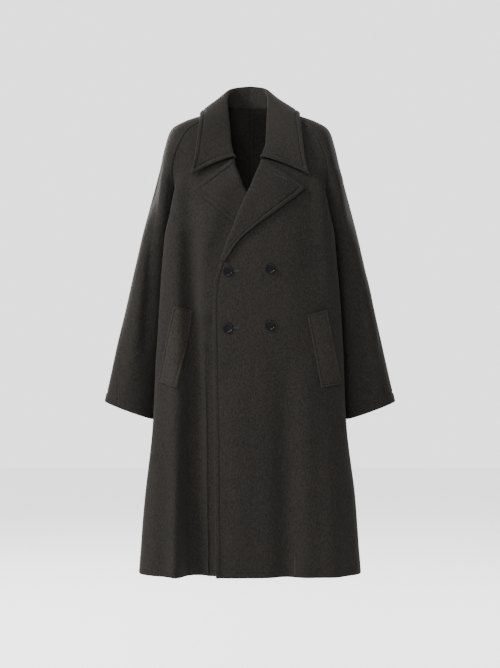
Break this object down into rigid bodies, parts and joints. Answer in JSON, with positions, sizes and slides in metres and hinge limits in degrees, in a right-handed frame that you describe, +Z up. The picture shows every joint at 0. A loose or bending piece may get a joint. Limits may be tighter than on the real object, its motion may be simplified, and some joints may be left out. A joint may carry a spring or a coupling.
{
  "type": "double-breasted coat",
  "caption": "Long double-breasted wool coat with raglan sleeves, turned collar, wide notched lapels and slanted welt pockets, hollow and open at neck, cuffs and hem.",
  "frame": {"origin": "centre of the neck at the height of the back neck seam, where the wearer holds the coat", "axes": "+Z up, the front of the coat faces -Y, +X towards the wearer's left sleeve"},
  "size_m": [0.7094, 0.32, 1.1954],
  "materials": {
    "wool_melton": "milled wool melton, brushed, dark charcoal melange",
    "button_gloss": "polished black button resin"
  },
  "bodies": {
    "root": {"front_left": "wool_melton", "front_right": "wool_melton", "back_left": "wool_melton", "back_right": "wool_melton", "sleeve_front_left": "wool_melton", "sleeve_front_right": "wool_melton", "sleeve_back_left": "wool_melton", "sleeve_back_right": "wool_melton", "lapel_left": "wool_melton", "lapel_right": "wool_melton", "collar": "wool_melton", "pocket_welt_left": "wool_melton", "pocket_welt_right": "wool_melton", "button_1": "button_gloss", "button_2": "button_gloss", "button_3": "button_gloss", "button_4": "button_gloss"}
  },
  "joints": []
}
